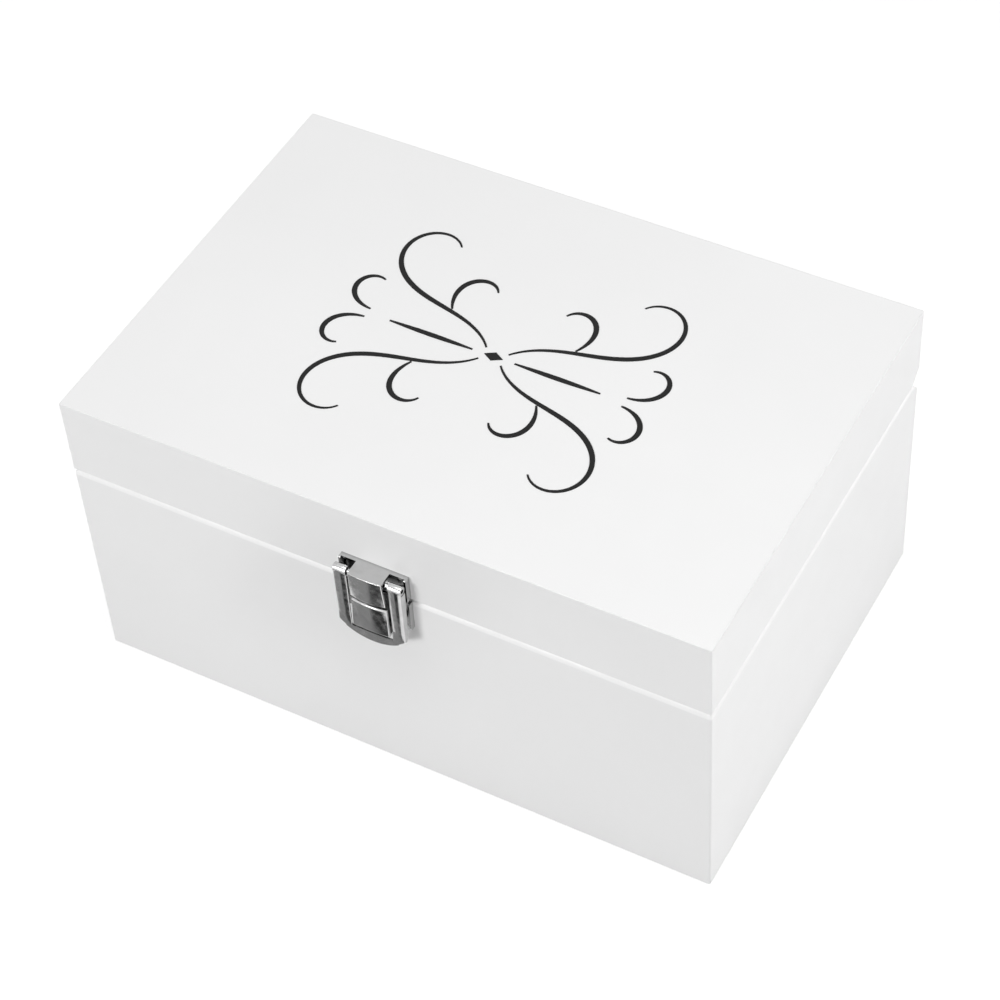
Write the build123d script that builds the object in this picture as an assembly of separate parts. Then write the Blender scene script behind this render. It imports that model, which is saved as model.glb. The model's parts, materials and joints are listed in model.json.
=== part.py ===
from build123d import *
import os
from math import cos, radians, sin, sqrt

os.makedirs("parts", exist_ok=True)

# A painted wooden keepsake box: a base, a hinged lid with a mirror inside, and a swing
# latch of folded sheet metal on the front. Millimetres. X runs along the front, Y from front
# to back and Z up. The origin is the middle of the underside.

# Overall size
box_length = 300.0
box_depth = 205.0
box_height = 155.0
lid_height = 39.5
seam_gap = 0.35

# Wood
wall = 10.0
lid_panel_thickness = 6.0
floor_thickness = 4.0
floor_rabbet = 5.0
panel_clearance = 0.3
corner_round = 0.5
base_seam_round = 3.0
lid_seam_round = 0.3
foot_round = 1.0
rim_round = 0.8
back_bevel = 6.5

# Lining, mirror and ornament
liner_thickness = 2.0
liner_clearance = 0.5
liner_round = 0.6
mirror_thickness = 3.0
mirror_margin = 15.0
mirror_bevel = 1.2
mirror_corner = 4.0
tape_thickness = 1.0
tape_width = 14.0
tape_inset = 8.0
tape_strips = 4
ornament_thickness = 0.15
ornament_stroke = 2.4
stroke_end_share = 0.35

# Scrolls of the ornament: start, heading in degrees, bend in degrees per millimetre,
# growth of the bend along the stroke, and length
main_scroll = ((5.3, 3.5), 46, -2.22, 0.075, 109)
branch_scroll = ((29.5, 17.4), 62, 1.82, 0.207, 35)
end_scroll = ((61.0, 2.6), 6, 2.73, 0.207, 33.5)
scroll_steps = 24
leaf_start = 10.0
leaf_length = 40.0
lozenge_half_length = 4.5
lozenge_half_width = 2.6

# Butt hinges in the bevelled back seam
hinge_length = 32.0
hinge_spacing = 190.0
hinge_knuckles = 5
leaf_width = 7.6
leaf_thickness = 0.95
hinge_pin_radius = 0.8
hinge_pin_hold = 0.02
hinge_pin_running = 0.05
hinge_wall = 0.95
pin_chamfer = 0.2
leaf_chamfer = 0.3
hinge_setback = 0.9
knuckle_clearance = 0.15
barrel_clearance = 0.3
mortise_clearance = 0.15
hinge_screw_radius = 0.9
hinge_screw_length = 6.5
hinge_screw_head = 1.75
hinge_screw_spacing = 20.0
hinge_screw_offset = 4.7
screw_clearance = 0.05

# Swing latch, with depths measured forward from the front face and heights from the seam
sheet = 1.0
latch_pin_radius = 0.95
latch_pin_running = 0.05
latch_pin_hold = 0.02
latch_pin_depth = 6.1
latch_pin_rise = 11.45
latch_pin_length = 28.8
plate_half_width = 15.7
lid_plate_foot = 1.05
loop_half_width = 15.8
loop_window_half_width = 9.8
window_round = 0.4
loop_drop = 25.95
loop_corner_drop = 19.25
crossbar_drop = 20.65
rail_crown = 0.4
rail_inner_round = 0.45
rail_crown_fade = (22.0, 14.5)
crown_start = 0.01
flange_depths = (4.2, 5.15, 6.3)
flange_drops = (13.95, 19.55)
flange_relief = 0.5
tongue_half_width = 7.8
tongue_flare = 0.027
fold_bow = 0.4
lip_bow = 0.85
lid_tongue_depths = (9.7, 9.3)
lid_tongue_drop = 0.3
base_tongue_depths = (9.0, 8.85)
base_tongue_drop = 2.85
base_shelf_drop = 18.7
lid_shelf_rise = 14.05
lid_shelf_depth = 2.0
lid_wing_depth = 3.0
base_plate_top = 1.05
base_plate_foot = 16.75
base_plate_lip = 2.7
base_plate_reach = 0.2
fold_round = 0.15
foot_fold_round = 0.4
lip_round = 0.8
round_steps = 4
bend_round = 0.5
side_round = 0.35
edge_round = 0.2
ear_inset = 5.7
ear_wall = 0.8
latch_screw_inset = 11.8
lid_screw_rise = 5.35
base_screw_drop = 9.25
latch_screw_radius = 1.2
latch_screw_length = 8.0
latch_screw_head_radius = 2.1
latch_screw_head_height = 1.1
latch_screw_head_round = 0.77
driver_width = 0.5
driver_depth = 0.6

# How near two measures must be to count as the same, and how far a cut reaches past what it cuts
touch = 0.01
cut_reach = 0.2

# Places that follow from the sizes above
half_length = box_length / 2
half_depth = box_depth / 2
base_height = box_height - lid_height - seam_gap
lid_foot = base_height + seam_gap
seam_z = base_height + seam_gap / 2
front = -half_depth
panel_foot = box_height - lid_panel_thickness
inner_length = box_length - 2 * wall
inner_depth = box_depth - 2 * wall


def block(x, y, z):
    """A box between two X, two Y and two Z values."""
    size = (x[1] - x[0], y[1] - y[0], z[1] - z[0])
    centre = ((x[0] + x[1]) / 2, (y[0] + y[1]) / 2, (z[0] + z[1]) / 2)
    return Pos(*centre) * Box(*size)


def bar(half_width, depths, z):
    """A box across the middle of the front, from its depths in front of the front face."""
    return block((-half_width, half_width), (front - depths[1], front - depths[0]), z)


def profile(points, x):
    """A prism along X from (y, z) points."""
    face = Plane.YZ.offset(x[0]) * make_face(Polyline(*points, close=True))
    return extrude(face, x[1] - x[0], dir=(1, 0, 0))


def rod(radius, x, y, z):
    """A cylinder along X between two X values."""
    return Pos((x[0] + x[1]) / 2, y, z) * Rot(0, 90, 0) * Cylinder(radius, x[1] - x[0])


def both_sides(shape):
    """A shape and its mirror image across the middle of the box."""
    return shape + mirror(shape, about=Plane.YZ)


def on_level(shape, z):
    """The edges that lie flat at one height."""
    return ShapeList(
        e for e in shape.edges()
        if abs(e.bounding_box().min.Z - z) < touch and abs(e.bounding_box().max.Z - z) < touch
    )


# Wooden shells
def bevel_wedge(side):
    """The 45 degree cut along the back seam: side is -1 below the seam and 1 above it."""
    apex_y = half_depth - back_bevel
    rim = seam_z + side * seam_gap / 2
    reach = 2 * back_bevel
    points = [(apex_y, rim), (apex_y + reach, rim + side * reach), (apex_y + reach, rim - side),
              (apex_y, rim - side)]
    return profile(points, (-box_length, box_length))


def round_seam(body, seam, radius):
    """Rounds the seam's edges along the front and the sides."""
    edges = on_level(body, seam)
    edges = edges.filter_by(lambda e: e.center().Y < half_depth - back_bevel - touch)
    return fillet(edges, radius)


def round_outside(body, outer, radius):
    """Rounds the upright edges and those round the top or the foot."""
    return fillet(on_level(body, outer) + body.edges().filter_by(Axis.Z), radius)


def shell_block(z, side, seam_radius, outside_radius):
    """A solid block of the outside shape with its back seam bevelled, rounded largest radius first."""
    outer, seam = z if side < 0 else reversed(z)
    body = block((-half_length, half_length), (-half_depth, half_depth), z)
    body = body - bevel_wedge(side)
    if seam_radius > outside_radius:
        return round_outside(round_seam(body, seam, seam_radius), outer, outside_radius)
    return round_seam(round_outside(body, outer, outside_radius), seam, seam_radius)


def inner_space(z):
    """The clear space inside the four walls."""
    return block((-inner_length / 2, inner_length / 2), (-inner_depth / 2, inner_depth / 2), z)


def wall_share(side_x, side_y):
    """The share of one wall: the front and the back run full length, with the sides butted between."""
    far = 2 * max(box_length, box_depth, box_height)
    if side_y:
        y = sorted((side_y * inner_depth / 2, side_y * far))
        return block((-far, far), y, (-far, far))
    x = sorted((side_x * inner_length / 2, side_x * far))
    return block(x, (-inner_depth / 2, inner_depth / 2), (-far, far))


def round_rim(ring, z):
    """Rounds the inner edges of a rim."""
    edges = on_level(ring, z)
    edges = edges.filter_by(lambda e: abs(e.center().X) < inner_length / 2 + touch)
    edges = edges.filter_by(lambda e: abs(e.center().Y) < inner_depth / 2 + touch)
    return fillet(edges, rim_round)


base_ring = shell_block((0, base_height), -1, base_seam_round, foot_round)
base_ring = round_rim(base_ring - inner_space((-1, base_height + 1)), base_height)
lid_block = shell_block((lid_foot, box_height), 1, lid_seam_round, corner_round)
tall_slab = (-box_length, box_length)
lid_top_panel = lid_block & block(tall_slab, tall_slab, (panel_foot, box_height + 1))
lid_ring = lid_block & block(tall_slab, tall_slab, (lid_foot - 1, panel_foot))
lid_ring = round_rim(lid_ring - inner_space((lid_foot - 1, panel_foot + 1)), lid_foot)

# Each ring is four walls, and the base's walls are rabbeted for the floor
sides = {"front": (0, -1), "back": (0, 1), "left": (-1, 0), "right": (1, 0)}
rabbet_length = inner_length + 2 * floor_rabbet
rabbet_depth = inner_depth + 2 * floor_rabbet
rabbet = block(
    (-rabbet_length / 2, rabbet_length / 2), (-rabbet_depth / 2, rabbet_depth / 2), (-1, floor_thickness)
)
base_walls = {name: (base_ring & wall_share(*side)) - rabbet for name, side in sides.items()}
lid_rails = {name: lid_ring & wall_share(*side) for name, side in sides.items()}

# Floor panel and its lining
floor_panel = block(
    (-rabbet_length / 2 + panel_clearance, rabbet_length / 2 - panel_clearance),
    (-rabbet_depth / 2 + panel_clearance, rabbet_depth / 2 - panel_clearance),
    (0, floor_thickness),
)
floor_liner = block(
    (-inner_length / 2 + liner_clearance, inner_length / 2 - liner_clearance),
    (-inner_depth / 2 + liner_clearance, inner_depth / 2 - liner_clearance),
    (floor_thickness, floor_thickness + liner_thickness),
)
floor_liner = fillet(on_level(floor_liner, floor_thickness + liner_thickness), liner_round)

# Mirror under the lid, held by strips of foam tape
mirror_foot = panel_foot - tape_thickness - mirror_thickness
mirror_length = inner_length - 2 * mirror_margin
mirror_depth = inner_depth - 2 * mirror_margin
mirror_glass = block(
    (-mirror_length / 2, mirror_length / 2), (-mirror_depth / 2, mirror_depth / 2),
    (mirror_foot, mirror_foot + mirror_thickness),
)
mirror_glass = fillet(mirror_glass.edges().filter_by(Axis.Z), mirror_corner)
mirror_glass = chamfer(on_level(mirror_glass, mirror_foot), mirror_bevel)
strip_span = mirror_depth - 2 * tape_inset - tape_width
mirror_tape = Compound(children=[
    block(
        (-mirror_length / 2 + tape_inset, mirror_length / 2 - tape_inset),
        (y - tape_width / 2, y + tape_width / 2),
        (panel_foot - tape_thickness, panel_foot),
    )
    for y in [strip_span * (i / (tape_strips - 1) - 0.5) for i in range(tape_strips)]
])


# Hinges, drawn in the (along the bevel, into the wood) directions of the base side
hinge_y = half_depth - back_bevel + hinge_setback
leaf_level = (hinge_setback + seam_gap / 2) / sqrt(2)
hinge_barrel = hinge_pin_radius + hinge_pin_running + hinge_wall
hinge_centres = (-hinge_spacing / 2, hinge_spacing / 2)


def bevel_point(along, into):
    """A (y, z) point beside the hinge axis, on the base side."""
    return (hinge_y + (along - into) / sqrt(2), seam_z - (along + into) / sqrt(2))


def bevel_slab(x, along, into):
    """A slab lying parallel to the base bevel."""
    corners = [(along[0], into[0]), (along[1], into[0]), (along[1], into[1]), (along[0], into[1])]
    return profile([bevel_point(*c) for c in corners], x)


def across_seam(shape):
    """A shape and its image on the other side of the seam."""
    return mirror(shape, about=Plane.XY.offset(seam_z))


def knuckle_spans(x, first):
    """The X spans of every other knuckle."""
    pitch = hinge_length / hinge_knuckles
    start = x - hinge_length / 2
    return [(start + i * pitch, start + (i + 1) * pitch) for i in range(first, hinge_knuckles, 2)]


def hinge_screw_places(x):
    """The X places of the two screws in one leaf."""
    return (x - hinge_screw_spacing / 2, x + hinge_screw_spacing / 2)


def bevel_frame(x):
    """A frame on the base leaf's face at one screw, with Z out of the wood."""
    y, z = bevel_point(hinge_screw_offset, leaf_level)
    return Plane(origin=(x, y, z), x_dir=(1, 0, 0), z_dir=(0, 1, 1))


def countersunk_screw(x):
    """A countersunk screw whose head is flush with the leaf."""
    cone_height = hinge_screw_head - hinge_screw_radius
    head = Pos(0, 0, -cone_height / 2) * Cone(hinge_screw_radius, hinge_screw_head, cone_height)
    shank = Pos(0, 0, -hinge_screw_length / 2) * Cylinder(hinge_screw_radius, hinge_screw_length)
    slot = Box(2 * hinge_screw_head, driver_width, driver_depth)
    return bevel_frame(x) * (head + shank - slot)


def countersunk_hole(x):
    """The hole for that screw, in the leaf and in the wood."""
    radius = hinge_screw_radius + screw_clearance
    mouth = hinge_screw_head + screw_clearance
    cone_height = mouth - radius
    head = Pos(0, 0, -cone_height / 2) * Cone(radius, mouth, cone_height)
    depth = hinge_screw_length + screw_clearance
    shank = Pos(0, 0, -depth / 2) * Cylinder(radius, depth)
    return bevel_frame(x) * (head + shank)


def leaf(x, first, bore):
    """A leaf on the base side, with every other knuckle of the barrel."""
    span = (x - hinge_length / 2, x + hinge_length / 2)
    plate = bevel_slab(span, (0, leaf_width), (leaf_level, leaf_level + leaf_thickness))
    plate = chamfer(plate.edges().filter_by(Axis.X).sort_by(Axis.Y)[-1:], leaf_chamfer)
    clear = hinge_barrel + barrel_clearance
    for low, high in knuckle_spans(x, 1 - first):
        cut = (low - knuckle_clearance / 2, high + knuckle_clearance / 2)
        plate = plate - rod(clear, cut, hinge_y, seam_z)
    end_gap = knuckle_clearance / 2
    for low, high in knuckle_spans(x, first):
        plate = plate + rod(hinge_barrel, (low + end_gap, high - end_gap), hinge_y, seam_z)
    plate = plate - rod(bore, (span[0] - 1, span[1] + 1), hinge_y, seam_z)
    for place in hinge_screw_places(x):
        plate = plate - countersunk_hole(place)
    return plate


def hinge_recess(x):
    """What one hinge needs out of the wood on the base side."""
    span = (x - hinge_length / 2 - mortise_clearance, x + hinge_length / 2 + mortise_clearance)
    along = (0, leaf_width + mortise_clearance)
    into = (leaf_level - 1, leaf_level + leaf_thickness)
    recess = bevel_slab(span, along, into)
    recess = recess + rod(hinge_barrel + barrel_clearance, span, hinge_y, seam_z)
    for place in hinge_screw_places(x):
        recess = recess + countersunk_hole(place)
    return recess


hinges = {}
for name, x in zip(("left", "right"), hinge_centres):
    base_walls["back"] = base_walls["back"] - hinge_recess(x)
    lid_rails["back"] = lid_rails["back"] - across_seam(hinge_recess(x))
    hinges[f"hinge_{name}_base_leaf"] = leaf(x, 0, hinge_pin_radius + hinge_pin_hold)
    lid_leaf = leaf(x, 1, hinge_pin_radius + hinge_pin_running)
    hinges[f"hinge_{name}_lid_leaf"] = across_seam(lid_leaf)
    pin = rod(hinge_pin_radius, (x - hinge_length / 2, x + hinge_length / 2), hinge_y, seam_z)
    hinges[f"hinge_{name}_pin"] = chamfer(pin.edges().filter_by(GeomType.CIRCLE), pin_chamfer)
screw_places = [place for x in hinge_centres for place in hinge_screw_places(x)]
hinges["hinge_base_screws"] = Compound(children=[countersunk_screw(place) for place in screw_places])
hinges["hinge_lid_screws"] = Compound(
    children=[across_seam(countersunk_screw(place)) for place in screw_places]
)

# Latch
pin_y = front - latch_pin_depth
pin_z = seam_z + latch_pin_rise
knuckle_radius = latch_pin_radius + latch_pin_running + sheet
loop_depth = latch_pin_depth + knuckle_radius
lid_plate_top = seam_z + lid_shelf_rise


def tongue_half(z):
    """Half the width of the two tongues at one height: they widen steadily downwards."""
    return tongue_half_width + tongue_flare * (lid_plate_top - z)


def bow_edge(z, depth, bow):
    """The bowed front line of a tongue, from its middle depth, as plan points."""
    half = tongue_half(z)
    return [Vector(-half, front - depth + bow), Vector(0, front - depth), Vector(half, front - depth + bow)]


def bowed_shelf(depth, z, edge_z):
    """A flat shelf from the front face out to half way through a bowed panel."""
    left, middle, right = bow_edge(edge_z, depth - sheet / 2, fold_bow)
    outline = ThreePointArc(left, middle, right)
    outline = outline + Polyline(right, (right.X, front), (left.X, front), left)
    face = Plane.XY.offset(z) * make_face(outline)
    return extrude(face, sheet, dir=(0, 0, 1))


def bowed_section(z, depth, bow, setback):
    """The cross-section of a bowed sheet at one height, with its front set back and its corners rounded."""
    edge = bow_edge(z, depth, bow)
    outer = ThreePointArc(*[point + Vector(0, setback) for point in edge])
    inner = ThreePointArc(*[point + Vector(0, sheet) for point in reversed(edge)])
    face = make_face([outer, Line(outer @ 1, inner @ 0), inner, Line(inner @ 1, outer @ 0)])
    corners = face.vertices().sort_by(Axis.Y)[:2]
    return Plane.XY.offset(z) * fillet(corners, min(side_round, (sheet - setback) / 2))


def bowed_panel(fold_z, lip_z, depths, rounds):
    """An upright panel from its fold to its free lip, where it bows out furthest, with both rounded."""
    inwards = 1 if lip_z > fold_z else -1
    turns = [radians(90 * i / round_steps) for i in range(round_steps + 1)]
    sections = []
    for turn in reversed(turns):
        z = fold_z + inwards * rounds[0] * (1 - sin(turn))
        sections.append(bowed_section(z, depths[0], fold_bow, rounds[0] * (1 - cos(turn))))
    for turn in turns:
        z = lip_z - inwards * rounds[1] * (1 - sin(turn))
        sections.append(bowed_section(z, depths[1], lip_bow, rounds[1] * (1 - cos(turn))))
    return loft(sections, ruled=True)


def screw_hole(inset, z):
    """Clearance holes for one plate's two screws."""
    length = latch_screw_length + sheet + screw_clearance
    hole = Rot(90, 0, 0) * Cylinder(latch_screw_radius + screw_clearance, length)
    return both_sides(Pos(inset, front - sheet + length / 2, z) * hole)


def pan_screw(x, z):
    """A round-headed screw seated on a latch plate, with its axis along Y."""
    head = Cylinder(latch_screw_head_radius, latch_screw_head_height)
    head = Pos(0, 0, latch_screw_head_height / 2) * head
    rim = on_level(head, latch_screw_head_height)
    head = fillet(rim, latch_screw_head_round)
    length = latch_screw_length + sheet
    shank = Pos(0, 0, -length / 2) * Cylinder(latch_screw_radius, length)
    slot = Pos(0, 0, latch_screw_head_height) * Box(2 * latch_screw_head_radius, driver_width, driver_depth)
    return Pos(x, front - sheet, z) * Rot(90, 0, 0) * (head + shank - slot)


def screw_pair(z):
    """The two screws of one plate."""
    return Compound(children=[pan_screw(x, z) for x in (-latch_screw_inset, latch_screw_inset)])


# Lid plate: a shallow pan with a tongue folded down over its middle, and two ears for the pin
lid_plate_z = (seam_z + lid_plate_foot, lid_plate_top)
latch_lid_plate = bar(plate_half_width, (0, sheet), lid_plate_z)
lid_shelf_z = (lid_plate_top - sheet, lid_plate_top)
latch_lid_plate = latch_lid_plate + bar(plate_half_width, (0, lid_shelf_depth), lid_shelf_z)
wing = block((plate_half_width - sheet, plate_half_width), (front - lid_wing_depth, front), lid_plate_z)
wing = fillet(wing.edges().filter_by(Axis.X).sort_by(Axis.Y)[:2], edge_round)
latch_lid_plate = latch_lid_plate + both_sides(wing)
lid_tongue = bowed_panel(
    lid_plate_top, seam_z - lid_tongue_drop, lid_tongue_depths, (fold_round, edge_round)
)
lid_tongue = lid_tongue + bowed_shelf(lid_tongue_depths[0], lid_plate_top - sheet, lid_plate_top)
latch_lid_plate = latch_lid_plate + lid_tongue
ear = block(
    (ear_inset - sheet / 2, ear_inset + sheet / 2),
    (front - latch_pin_depth - latch_pin_radius - ear_wall, front),
    (pin_z - latch_pin_radius - ear_wall, lid_plate_top - sheet),
)
latch_lid_plate = latch_lid_plate + both_sides(ear)
latch_lid_plate = latch_lid_plate - rod(
    latch_pin_radius + latch_pin_hold, (-tongue_half_width, tongue_half_width), pin_y, pin_z
)
lid_screw_z = seam_z + lid_screw_rise
latch_lid_plate = latch_lid_plate - screw_hole(latch_screw_inset, lid_screw_z)

# Base plate: the tongue rises from a shelf that the loop's crossbar catches under
base_plate_z = (seam_z - base_plate_foot, seam_z - base_plate_top)
shelf_foot = seam_z - base_shelf_drop
plate_half = loop_half_width + base_plate_reach
latch_base_plate = bar(plate_half, (0, sheet), base_plate_z)
lip = block((plate_half - sheet, plate_half), (front - base_plate_lip, front), base_plate_z)
lip = fillet(lip.edges().filter_by(Axis.X).sort_by(Axis.Y)[:2], sheet)
latch_base_plate = latch_base_plate + both_sides(lip)
latch_base_plate = latch_base_plate + bar(tongue_half(shelf_foot), (0, sheet), (shelf_foot, base_plate_z[1]))
base_tongue = bowed_panel(
    shelf_foot, seam_z - base_tongue_drop, base_tongue_depths, (foot_fold_round, lip_round)
)
base_tongue = base_tongue + bowed_shelf(base_tongue_depths[0], shelf_foot, shelf_foot)
latch_base_plate = latch_base_plate + base_tongue
base_screw_z = seam_z - base_screw_drop
latch_base_plate = latch_base_plate - screw_hole(latch_screw_inset, base_screw_z)

# Loop: two flanged rails rolled round the pin at the top and joined by a crossbar below
loop_back = front - loop_depth + sheet
corner_z = seam_z - loop_corner_drop
foot_z = seam_z - loop_drop
outline = Polyline((-loop_half_width, corner_z), (-loop_half_width, pin_z), (loop_half_width, pin_z),
                   (loop_half_width, corner_z)) + ThreePointArc(
    (loop_half_width, corner_z), (0, foot_z), (-loop_half_width, corner_z)
)
loop_face = Plane(origin=(0, loop_back, 0), x_dir=(1, 0, 0), z_dir=(0, -1, 0)) * make_face(outline)
loop_sheet = extrude(loop_face, sheet, dir=(0, -1, 0))
loop_sheet = fillet(loop_sheet.edges().filter_by(Axis.Y).sort_by(Axis.Z)[:2], sheet)
window = block(
    (-loop_window_half_width, loop_window_half_width), (front - 2 * loop_depth, front),
    (seam_z - crossbar_drop, pin_z + 2 * knuckle_radius),
)
window = fillet(window.edges().filter_by(Axis.Y).sort_by(Axis.Z)[:2], window_round)
loop_sheet = loop_sheet - window


def crown_section(z, share):
    """What comes off the front of one rail at one height, to crown it and round its inner edge."""
    crown = rail_crown * share
    corner = rail_inner_round * share
    rail_front = front - loop_depth
    inner = (loop_window_half_width + corner, rail_front + crown)
    middle = ((inner[0] + loop_half_width) / 2, rail_front)
    outer = (loop_half_width + cut_reach, rail_front + crown)
    wall_point = (loop_window_half_width, inner[1] + corner)
    bulge = corner * (1 - 1 / sqrt(2))
    round_point = (loop_window_half_width + bulge, inner[1] + bulge)
    clear = (loop_window_half_width - cut_reach, rail_front - sheet)
    rest = Polyline(outer, (outer[0], clear[1]), clear, (clear[0], wall_point[1]), wall_point)
    curves = [ThreePointArc(wall_point, round_point, inner), ThreePointArc(inner, middle, outer)]
    return Plane.XY.offset(z) * make_face([*curves, *rest.edges()])


fade_low, fade_high = (seam_z - drop for drop in rail_crown_fade)
crown_cut = loft([crown_section(fade_low, crown_start), crown_section(fade_high, 1)], ruled=True)
crown_cut = crown_cut + extrude(crown_section(fade_high, 1), pin_z + sheet - fade_high, dir=(0, 0, 1))
loop_sheet = loop_sheet - both_sides(crown_cut)
flange_top = pin_z - knuckle_radius - flange_relief
knee_z, flange_foot = (seam_z - drop for drop in flange_drops)
flange = profile(
    [(loop_back, flange_top), (front - flange_depths[0], flange_top), (front - flange_depths[1], knee_z),
     (front - flange_depths[2], flange_foot), (loop_back, flange_foot)],
    (loop_half_width - sheet, loop_half_width),
)
knuckle = rod(knuckle_radius, (loop_window_half_width, loop_half_width), pin_y, pin_z)
knuckle = fillet(knuckle.edges().filter_by(GeomType.CIRCLE), edge_round)
latch_loop = loop_sheet + both_sides(flange)
folds = latch_loop.edges().filter_by(
    lambda e: abs(abs(e.center().X) - loop_half_width) < touch and e.center().Y < loop_back - sheet / 2
)
latch_loop = fillet(folds, bend_round)
latch_loop = latch_loop + both_sides(knuckle)
latch_loop = latch_loop - rod(
    latch_pin_radius + latch_pin_running, (-box_length / 2, box_length / 2), pin_y, pin_z
)
latch_pin = rod(latch_pin_radius, (-latch_pin_length / 2, latch_pin_length / 2), pin_y, pin_z)
latch_pin = chamfer(latch_pin.edges().filter_by(GeomType.CIRCLE), pin_chamfer)

# Pilot holes for the latch screws in the front wood
lid_rails["front"] = lid_rails["front"] - screw_hole(latch_screw_inset, lid_screw_z)
base_walls["front"] = base_walls["front"] - screw_hole(latch_screw_inset, base_screw_z)


# Ornament on the lid: mirrored scrolls whose bend tightens along their length
def scroll_line(start, heading, bend, tighten, length, steps):
    """Points along a curve whose bend, in degrees per millimetre, grows steadily."""
    x, y = start
    step = length / steps
    points = []
    for i in range(steps + 1):
        travelled = i * step
        angle = radians(heading + bend * travelled + tighten * travelled * travelled / 2)
        points.append((x, y, angle, travelled / length))
        x = x + step * cos(angle)
        y = y + step * sin(angle)
    return points


def ribbon(points, width):
    """A flat stroke that swells from thin ends to its full width."""
    left = []
    right = []
    for x, y, angle, share in points:
        swell = stroke_end_share + (1 - stroke_end_share) * sin(radians(180 * share))
        half = width / 2 * swell
        left.append((x - half * sin(angle), y + half * cos(angle)))
        right.append((x + half * sin(angle), y - half * cos(angle)))
    sides = [Spline(*left), Spline(*right)]
    ends = [Line(left[0], right[0]), Line(left[-1], right[-1])]
    return extrude(Plane.XY.offset(box_height) * make_face(sides + ends), ornament_thickness, dir=(0, 0, 1))


def mirrored(shape):
    """A shape in all four quarters of the lid."""
    pair = [shape, mirror(shape, about=Plane.YZ)]
    return pair + [mirror(s, about=Plane.XZ) for s in pair]


strokes = []
for scroll in (main_scroll, branch_scroll, end_scroll):
    strokes += mirrored(ribbon(scroll_line(*scroll, scroll_steps), ornament_stroke))
leaf_stroke = ribbon(scroll_line((leaf_start, 0), 0, 0, 0, leaf_length, scroll_steps), ornament_stroke)
strokes += [leaf_stroke, mirror(leaf_stroke, about=Plane.YZ)]
lozenge = make_face(Polyline((-lozenge_half_length, 0), (0, -lozenge_half_width), (lozenge_half_length, 0),
                             (0, lozenge_half_width), close=True))
strokes.append(extrude(Plane.XY.offset(box_height) * lozenge, ornament_thickness, dir=(0, 0, 1)))
lid_ornament = Compound(children=strokes)

nodes = {
    **{f"base_{name}_wall": wall_piece for name, wall_piece in base_walls.items()},
    **{f"lid_{name}_rail": rail for name, rail in lid_rails.items()},
    "lid_top_panel": lid_top_panel,
    "floor_panel": floor_panel,
    "floor_liner": floor_liner,
    "lid_ornament": lid_ornament,
    "mirror_tape": mirror_tape,
    "mirror_glass": mirror_glass,
    **hinges,
    "latch_lid_plate": latch_lid_plate,
    "latch_base_plate": latch_base_plate,
    "latch_loop": latch_loop,
    "latch_pin": latch_pin,
    "latch_lid_screws": screw_pair(lid_screw_z),
    "latch_base_screws": screw_pair(base_screw_z),
}
for name, shape in nodes.items():
    export_step(shape, f"parts/{name}.step")
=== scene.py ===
import json
import math

import bpy
from mathutils import Matrix, Vector


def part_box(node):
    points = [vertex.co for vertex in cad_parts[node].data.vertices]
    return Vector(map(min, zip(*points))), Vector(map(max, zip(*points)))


# A white painted keepsake box with a nickel latch, on a plain white floor in soft studio light.
# Metres. X runs along the front of the box, Y from front to back and Z up.

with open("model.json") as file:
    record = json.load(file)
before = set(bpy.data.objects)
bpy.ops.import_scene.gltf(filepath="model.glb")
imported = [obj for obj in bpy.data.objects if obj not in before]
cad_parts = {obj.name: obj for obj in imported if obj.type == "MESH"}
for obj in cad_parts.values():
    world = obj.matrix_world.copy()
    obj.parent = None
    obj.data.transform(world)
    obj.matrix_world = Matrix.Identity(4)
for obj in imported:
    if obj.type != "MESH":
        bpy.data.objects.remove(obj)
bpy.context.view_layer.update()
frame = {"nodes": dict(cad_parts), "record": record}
nodes = frame["nodes"]
scene = bpy.context.scene

# Camera, at the photograph's viewing angle. The offset is how far right, down and ahead the origin lies
CAMERA_AZIMUTH = 31.65
CAMERA_ELEVATION = 47.74
CAMERA_ROLL = 4.25
CAMERA_OFFSET = Vector((0.0050, 0.0442, 1.29364))
CAMERA_LENS = 101.82
SENSOR_WIDTH = 36.0
CAMERA_REACH = 100


def make_camera():
    """The camera looks at the box from its front right, from above."""
    azimuth = math.radians(CAMERA_AZIMUTH)
    elevation = math.radians(CAMERA_ELEVATION)
    roll = math.radians(CAMERA_ROLL)
    back = Vector((
        math.sin(azimuth) * math.cos(elevation),
        -math.cos(azimuth) * math.cos(elevation),
        math.sin(elevation),
    ))
    forward = -back
    right = forward.cross(Vector((0, 0, 1))).normalized()
    down = forward.cross(right)
    rolled_right = math.cos(roll) * right + math.sin(roll) * down
    rolled_down = -math.sin(roll) * right + math.cos(roll) * down
    place = -(rolled_right * CAMERA_OFFSET.x + rolled_down * CAMERA_OFFSET.y + forward * CAMERA_OFFSET.z)
    turn = Matrix((rolled_right, -rolled_down, back)).transposed().to_4x4()
    data = bpy.data.cameras.new("camera")
    data.lens = CAMERA_LENS
    data.sensor_width = SENSOR_WIDTH
    data.clip_end = CAMERA_REACH
    camera = bpy.data.objects.new("camera", data)
    camera.matrix_world = Matrix.Translation(place) @ turn
    scene.collection.objects.link(camera)
    scene.camera = camera


def grey(tone):
    """An even grey."""
    return tone, tone, tone


def new_material(name):
    """A material, its node tree and its shader node."""
    material = bpy.data.materials.new(name)
    material.use_nodes = True
    tree = material.node_tree
    shader = tree.nodes["Principled BSDF"]
    return material, tree, shader


def add(tree, kind, **values):
    """Adds one node and sets its inputs or properties by name."""
    node = tree.nodes.new(kind)
    for key, value in values.items():
        if key in node.inputs:
            node.inputs[key].default_value = value
        else:
            setattr(node, key, value)
    return node


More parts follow.
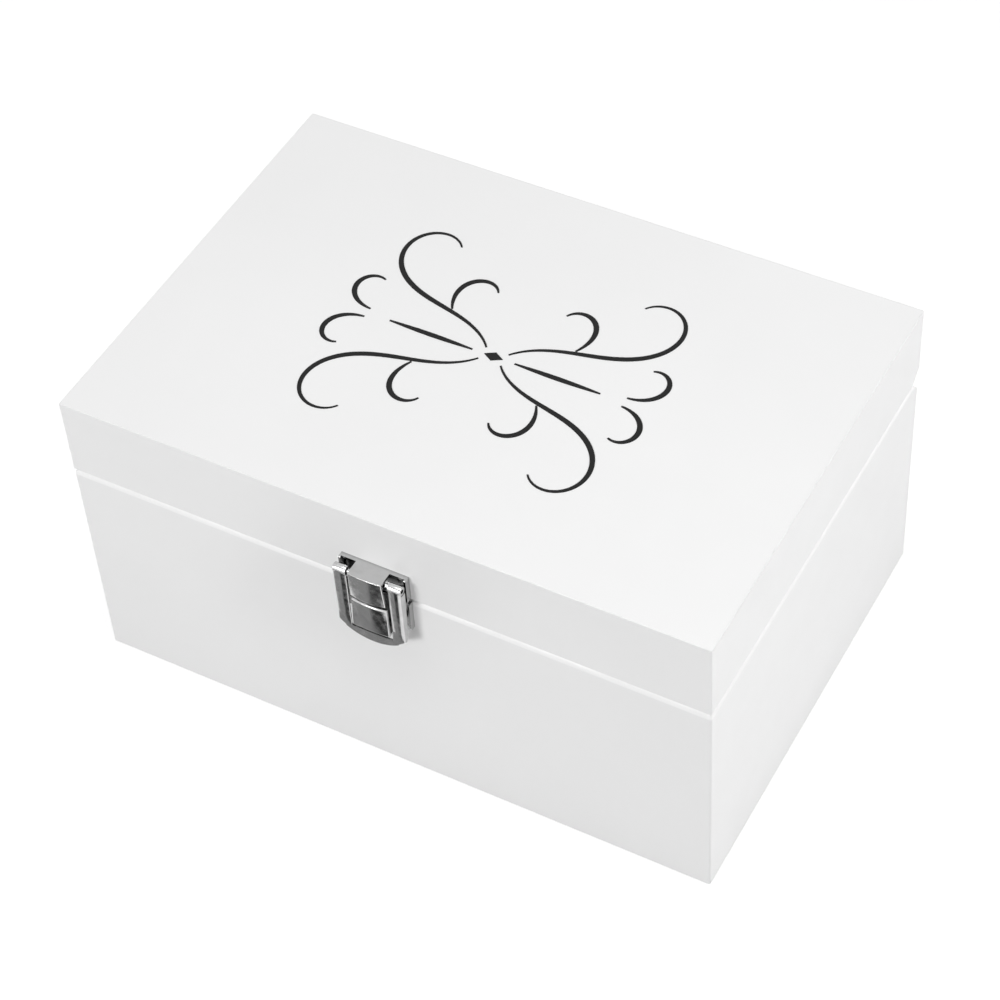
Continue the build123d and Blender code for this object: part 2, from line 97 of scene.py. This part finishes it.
def calculate(tree, operation, *values):
    """The result of one sum. Each value is a number or the output of a node."""
    node = add(tree, "ShaderNodeMath", operation=operation)
    for socket, value in zip(node.inputs, values):
        if isinstance(value, (int, float)):
            socket.default_value = value
        else:
            tree.links.new(value, socket)
    return node.outputs[0]


def place_texture(tree, kind, scale, stretch=(1, 1, 1), **values):
    """A texture in the object's own coordinates, stretched by axis. Scale counts per metre."""
    coords = add(tree, "ShaderNodeTexCoord")
    mapping = add(tree, "ShaderNodeMapping", Scale=stretch)
    texture = add(tree, kind, Scale=scale, **values)
    tree.links.new(coords.outputs["Object"], mapping.inputs["Vector"])
    tree.links.new(mapping.outputs["Vector"], texture.inputs["Vector"])
    return texture


def noise(tree, scale, **values):
    """The value of a noise texture."""
    return place_texture(tree, "ShaderNodeTexNoise", scale, **values).outputs["Fac"]


def axis(tree, name):
    """The object's own X, Y or Z, in metres."""
    coords = add(tree, "ShaderNodeTexCoord")
    split = add(tree, "ShaderNodeSeparateXYZ")
    tree.links.new(coords.outputs["Object"], split.inputs[0])
    return split.outputs[name]


def spread(tree, source, low, high, from_low=0.35, from_high=0.65):
    """Maps a value onto a range. As given, it takes the middle of a noise texture's values."""
    node = add(tree, "ShaderNodeMapRange")
    node.inputs["From Min"].default_value = from_low
    node.inputs["From Max"].default_value = from_high
    node.inputs["To Min"].default_value = low
    node.inputs["To Max"].default_value = high
    tree.links.new(source, node.inputs["Value"])
    return node.outputs["Result"]


def blend_colours(tree, factor, first, second):
    """A colour between two, by a factor. Each is three numbers or the output of a node."""
    node = add(tree, "ShaderNodeMix", data_type="RGBA")
    for name, colour in (("A", first), ("B", second)):
        socket = next(s for s in node.inputs if s.name == name and s.type == "RGBA")
        if isinstance(colour, tuple):
            socket.default_value = (*colour, 1)
        else:
            tree.links.new(colour, socket)
    tree.links.new(factor, node.inputs["Factor"])
    return next(s for s in node.outputs if s.type == "RGBA")


def mottle(tree, source, dark, light, **span):
    """A colour that wanders between two with a texture's value."""
    return blend_colours(tree, spread(tree, source, 0, 1, **span), dark, light)


def set_colour(tree, shader, colour):
    """Gives the shader its colour, from the output of a node."""
    tree.links.new(colour, shader.inputs["Base Color"])


def vary_roughness(tree, shader, source, low, high):
    """Lets the shader's roughness wander between two values with a texture's value."""
    tree.links.new(spread(tree, source, low, high), shader.inputs["Roughness"])


def bump(tree, shader, height, strength, distance, before=None):
    """Adds a bump to a shader, on top of an earlier one."""
    node = add(tree, "ShaderNodeBump", Strength=strength, Distance=distance)
    tree.links.new(height, node.inputs["Height"])
    if before:
        tree.links.new(before.outputs["Normal"], node.inputs["Normal"])
    tree.links.new(node.outputs["Normal"], shader.inputs["Normal"])
    return node


# Painted highlight: a whiter grey on the base's rounded top edge, where the lamps alone leave it too dim.
# Depths below the base's top, outside in
BASE_WALLS = ("base_front_wall", "base_back_wall", "base_left_wall", "base_right_wall")
BASE_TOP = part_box("base_front_wall")[1][2]
RIM_HIGHLIGHT_START = (0.00325, 0.00265)
RIM_HIGHLIGHT_END = (0.00035, 0.00015)
RIM_HIGHLIGHT_COLOUR = grey(0.95)

# Painted shade: a darker grey on the rounded edge around the lid's top, which dims the highlight that the
# lamps make there. Distances in from its sides and below its top
LID_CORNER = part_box("lid_top_panel")[1]
LID_SHADE_WIDTH = (0.0006, 0.0003)
LID_SHADE_DEPTH = (0.0007, 0.0004)
LID_SHADE_COLOUR = grey(0.78)


def base_rim_highlight(tree):
    """1 where a painted highlight whitens the rounded top edge of the base's walls, and 0 elsewhere."""
    depth = calculate(tree, "SUBTRACT", BASE_TOP, axis(tree, "Z"))
    started = spread(tree, depth, 0, 1, *RIM_HIGHLIGHT_START)
    ended = spread(tree, depth, 1, 0, *RIM_HIGHLIGHT_END)
    return calculate(tree, "MULTIPLY", started, ended)


def lid_edge_shade(tree):
    """1 where painted shade darkens the rounded edge around the lid's top, and 0 elsewhere."""
    across, along = (calculate(tree, "SUBTRACT", half, calculate(tree, "ABSOLUTE", axis(tree, name)))
                     for name, half in zip("XY", LID_CORNER))
    near_side = spread(tree, calculate(tree, "MINIMUM", across, along), 0, 1, *LID_SHADE_WIDTH)
    depth = calculate(tree, "SUBTRACT", LID_CORNER[2], axis(tree, "Z"))
    return calculate(tree, "MULTIPLY", near_side, spread(tree, depth, 0, 1, *LID_SHADE_DEPTH))


def paint(name, painted_light_band=None, painted_light_colour=None):
    """Satin white paint: faint brush drag, a fine orange-peel skin and slight changes of gloss. A band, where
    given, is painted light in its own grey.
    """
    material, tree, shader = new_material(name)
    colour = mottle(tree, noise(tree, scale=9, Detail=3), dark=grey(0.868), light=grey(0.882))
    if painted_light_band:
        # Painted light: the band is painted in its own grey, lighter for a highlight and darker for shade.
        colour = blend_colours(tree, painted_light_band(tree), colour, painted_light_colour)
    set_colour(tree, shader, colour)
    vary_roughness(tree, shader, noise(tree, scale=60, Detail=2), low=0.30, high=0.40)
    skin = bump(tree, shader, noise(tree, scale=900, Detail=2), strength=0.12, distance=0.00015)
    drag = noise(tree, scale=260, stretch=(0.06, 1, 1), Detail=3)
    bump(tree, shader, drag, strength=0.10, distance=0.0002, before=skin)
    return material


# Painted shade in the crevices of the metal, where ambient occlusion finds it closed in: its reach, and the
# openness at which it is full and gone
CREVICE_SHADE_REACH = 0.006
CREVICE_SHADE_SAMPLES = 16
CREVICE_SHADE_OPENNESS = (0.33, 0.62)
CREVICE_SHADE_COLOUR = grey(0.012)

# Faint swells of the latch's stamped faces: pitch in metres, and slope
LATCH_PLATE_SWELL = (0.024, 0.05)
LATCH_LOOP_SWELL = (0.0129, 0.06)


def crown(tree, shader, pitch, slope):
    """A faint swell across a stamped face, repeated along X. Slope is its steepest rise."""
    turns = calculate(tree, "MULTIPLY", axis(tree, "X"), 2 * math.pi / pitch)
    swell = calculate(tree, "COSINE", turns)
    return bump(tree, shader, swell, strength=1, distance=slope * pitch / (2 * math.pi))


def metal(name, dark, light, rough, grain, swell=None):
    """Plated metal with fine scratches, cloudy tarnish, uneven polish and painted shade where it is closed
    in.
    """
    material, tree, shader = new_material(name)
    shader.inputs["Metallic"].default_value = 1
    plating = mottle(tree, noise(tree, scale=140, Detail=5, Roughness=0.62), dark, light)
    # Painted shade: the colour goes near black where ambient occlusion finds the metal closed in.
    openness = add(tree, "ShaderNodeAmbientOcclusion", Distance=CREVICE_SHADE_REACH, samples=CREVICE_SHADE_SAMPLES)
    unshaded = spread(tree, openness.outputs["AO"], 0, 1, *CREVICE_SHADE_OPENNESS)
    set_colour(tree, shader, blend_colours(tree, unshaded, CREVICE_SHADE_COLOUR, plating))
    vary_roughness(tree, shader, noise(tree, scale=420, Detail=4), *rough)
    before = crown(tree, shader, *swell) if swell else None
    scratches = noise(tree, scale=1500, stretch=grain, Detail=3)
    bump(tree, shader, scratches, strength=0.16, distance=0.0001, before=before)
    return material


def latch_metal(name, swell):
    """Bright nickel of the latch."""
    return metal(name, dark=grey(0.54), light=grey(0.62), rough=(0.10, 0.20), grain=(0.08, 1, 1), swell=swell)


def hinge_metal():
    """Duller nickel of the hinges, brushed along their length."""
    return metal("hinge_nickel", dark=(0.36, 0.355, 0.34), light=(0.46, 0.455, 0.44), rough=(0.22, 0.34),
                 grain=(0.05, 1, 1))


def screw_metal():
    """Duller nickel of the screws."""
    return metal("screw_nickel", dark=(0.34, 0.335, 0.32), light=(0.44, 0.435, 0.42), rough=(0.22, 0.34),
                 grain=(1, 1, 1))


def mirror_glass():
    """Silvered glass with the faintest haze."""
    material, tree, shader = new_material("mirror_silver")
    shader.inputs["Metallic"].default_value = 1
    haze = noise(tree, scale=30, Detail=4)
    set_colour(tree, shader, mottle(tree, haze, dark=(0.86, 0.88, 0.88), light=(0.90, 0.91, 0.91)))
    vary_roughness(tree, shader, haze, low=0.015, high=0.035)
    return material


def felt():
    """Short felt: tangled fibres with a soft sheen."""
    material, tree, shader = new_material("felt")
    fibres = noise(tree, scale=2400, Detail=6, Roughness=0.7, Distortion=1.5)
    set_colour(tree, shader, mottle(tree, fibres, dark=(0.40, 0.39, 0.37), light=(0.60, 0.58, 0.55)))
    vary_roughness(tree, shader, noise(tree, scale=45, Detail=3), low=0.86, high=1.0)
    shader.inputs["Sheen Weight"].default_value = 0.4
    shader.inputs["Sheen Roughness"].default_value = 0.5
    bump(tree, shader, fibres, strength=0.5, distance=0.0006)
    return material


def vinyl():
    """Matte black film with a fine pebbled face."""
    material, tree, shader = new_material("black_film")
    pebble = noise(tree, scale=1800, Detail=2)
    set_colour(tree, shader, mottle(tree, pebble, dark=grey(0.0025), light=grey(0.006)))
    vary_roughness(tree, shader, pebble, low=0.5, high=0.62)
    shader.inputs["Specular IOR Level"].default_value = 0.2
    bump(tree, shader, pebble, strength=0.08, distance=0.0001)
    return material


def foam():
    """White closed-cell foam tape."""
    material, tree, shader = new_material("foam")
    cells = place_texture(tree, "ShaderNodeTexVoronoi", scale=1400).outputs["Distance"]
    colour = mottle(tree, cells, dark=(0.66, 0.66, 0.64), light=(0.76, 0.76, 0.74), from_low=0, from_high=0.8)
    set_colour(tree, shader, colour)
    shader.inputs["Roughness"].default_value = 0.8
    bump(tree, shader, cells, strength=0.3, distance=0.0003)
    return material


def dress():
    """Gives every CAD node its own material or the one of its slot."""
    looks = {
        "paint": paint("white_paint"),
        "lining": felt(),
        "ornament": vinyl(),
        "tape": foam(),
        "mirror": mirror_glass(),
        "hinge_metal": hinge_metal(),
        "screws": screw_metal(),
        "latch_metal": latch_metal("latch_nickel", LATCH_PLATE_SWELL),
    }
    # The base's walls get a painted highlight on their rounded top edge.
    own_looks = dict.fromkeys(BASE_WALLS, paint("base_paint_highlight", base_rim_highlight, RIM_HIGHLIGHT_COLOUR))
    # The lid's top panel gets painted shade on its rounded edge.
    own_looks["lid_top_panel"] = paint("lid_top_paint_shaded", lid_edge_shade, LID_SHADE_COLOUR)
    own_looks["latch_loop"] = latch_metal("loop_nickel", LATCH_LOOP_SWELL)
    for part in frame["record"]["subparts"]:
        node = nodes[part["node"]]
        node.data.materials.clear()
        node.data.materials.append(own_looks.get(part["node"], looks[part["material_slot"]]))


# Stage: a white floor that keeps a soft shadow, and an even white surround. The floor's glow rises to
# white over a range of distances from the box, so that no horizon shows from low down
FLOOR_HALF = 6.0
FLOOR_TONE = 0.55
FLOOR_GLOW = 0.60
FLOOR_FAR_GLOW = 1.0
FLOOR_FAR_RANGE = (0.9, 2.2)
WORLD_STRENGTH = 0.27

# A card low in front of the box, which only reflections see: it glows grey to dark, like a studio flag, and
# is a painted reflection on the latch's front. It fades from grey to dark over a range of places that the
# latch's front mirrors, and its edge nearest the box is one grey.
# The slant is how far to the left the mirrored view drifts for each metre that it runs forwards
FLAG_X = (-0.12, -0.01)
FLAG_Y = (-0.25, -0.15)
FLAG_HEIGHT = 0.0004
FLAG_TONES = (0.38, 0.03)
FLAG_FADE = (-0.001, 0.011)
FLAG_SLANT = 0.617
FLAG_NEAR_TONE = 0.31
FLAG_NEAR_Y = (-0.194, -0.184)
LATCH_FRONT_Y = -0.11


def level_sheet(name, xs, ys, height):
    """A level rectangle, from the lowest to the highest X and Y."""
    corners = [(xs[0], ys[0], height), (xs[1], ys[0], height), (xs[1], ys[1], height), (xs[0], ys[1], height)]
    mesh = bpy.data.meshes.new(name)
    mesh.from_pydata(corners, [], [(0, 1, 2, 3)])
    sheet = bpy.data.objects.new(name, mesh)
    scene.collection.objects.link(sheet)
    return sheet


def seen_directly(tree):
    """1 for what the camera sees, straight on or in gloss or glass, and 0 for light that spreads."""
    path = add(tree, "ShaderNodeLightPath")
    seen = path.outputs["Is Camera Ray"]
    for ray in ("Is Glossy Ray", "Is Transmission Ray"):
        seen = calculate(tree, "MAXIMUM", seen, path.outputs[ray])
    return seen


def make_floor():
    """The floor shows white to the camera and still takes the box's shadow."""
    floor = level_sheet("floor", (-FLOOR_HALF, FLOOR_HALF), (-FLOOR_HALF, FLOOR_HALF), 0)
    material, tree, shader = new_material("white_floor")
    shader.inputs["Base Color"].default_value = (*grey(FLOOR_TONE), 1)
    shader.inputs["Roughness"].default_value = 1
    shader.inputs["Specular IOR Level"].default_value = 0
    shader.inputs["Emission Color"].default_value = (1, 1, 1, 1)
    coords = add(tree, "ShaderNodeTexCoord")
    reach = add(tree, "ShaderNodeVectorMath", operation="LENGTH")
    tree.links.new(coords.outputs["Object"], reach.inputs[0])
    glow = spread(tree, reach.outputs["Value"], FLOOR_GLOW, FLOOR_FAR_GLOW, *FLOOR_FAR_RANGE)
    shown = calculate(tree, "MULTIPLY", seen_directly(tree), glow)
    tree.links.new(shown, shader.inputs["Emission Strength"])
    floor.data.materials.append(material)


def make_world():
    """White where the camera, gloss or glass sees it, and a plain even light elsewhere."""
    world = bpy.data.worlds.new("surround")
    world.use_nodes = True
    scene.world = world
    tree = world.node_tree
    background = tree.nodes["Background"]
    background.inputs["Color"].default_value = (1, 1, 1, 1)
    strength = spread(tree, seen_directly(tree), WORLD_STRENGTH, 1, from_low=0, from_high=1)
    tree.links.new(strength, background.inputs["Strength"])


def make_flag():
    """The card, whose glow follows the places that the latch's front mirrors, as a painted reflection."""
    flag = level_sheet("flag", FLAG_X, FLAG_Y, FLAG_HEIGHT)
    flag.visible_camera = False
    flag.visible_diffuse = False
    flag.visible_shadow = False
    flag.visible_transmission = False
    material, tree, shader = new_material("flag_card")
    shader.inputs["Base Color"].default_value = (0, 0, 0, 1)
    shader.inputs["Specular IOR Level"].default_value = 0
    # Painted reflection: the card glows in its own tones, and the latch's front mirrors them.
    shader.inputs["Emission Strength"].default_value = 1
    depth = axis(tree, "Y")
    lean = calculate(tree, "MULTIPLY", calculate(tree, "SUBTRACT", LATCH_FRONT_Y, depth), FLAG_SLANT)
    mirrored = calculate(tree, "ADD", axis(tree, "X"), lean)
    left, right = (grey(tone) for tone in FLAG_TONES)
    fade = blend_colours(tree, spread(tree, mirrored, 0, 1, *FLAG_FADE), left, right)
    near = spread(tree, depth, 0, 1, *FLAG_NEAR_Y)
    tone = blend_colours(tree, near, fade, grey(FLAG_NEAR_TONE))
    tree.links.new(tone, shader.inputs["Emission Color"])
    flag.data.materials.append(material)


def soft_lamp(name, place, target, size, power):
    """A studio lamp aimed at a point. Size is its width and height, and power is in watts."""
    data = bpy.data.lights.new(name, "AREA")
    data.shape = "RECTANGLE"
    data.size, data.size_y = size
    data.energy = power
    lamp = bpy.data.objects.new(name, data)
    lamp.location = place
    lamp.rotation_euler = (Vector(target) - Vector(place)).to_track_quat("-Z", "Y").to_euler()
    scene.collection.objects.link(lamp)


def make_lamps():
    """A low lamp in front, a broad one overhead, and weak ones at the right and behind it."""
    soft_lamp("front", place=(-0.64, -1.83, 0.84), target=(0, 0, 0.1), size=(0.7, 0.6), power=18.1)
    soft_lamp("top", place=(0, 0, 1.6), target=(0, 0, 0.1), size=(1.0, 1.0), power=10.9)
    soft_lamp("side", place=(0.95, -0.14, 0.6), target=(0.1, 0, 0.08), size=(0.5, 0.5), power=3.4)
    soft_lamp("back", place=(1.3, 0.95, 0.19), target=(0.1, 0, 0.1), size=(0.5, 0.3), power=5.6)


make_camera()
dress()
make_floor()
make_world()
make_lamps()
make_flag()
scene.view_settings.view_transform = "Standard"
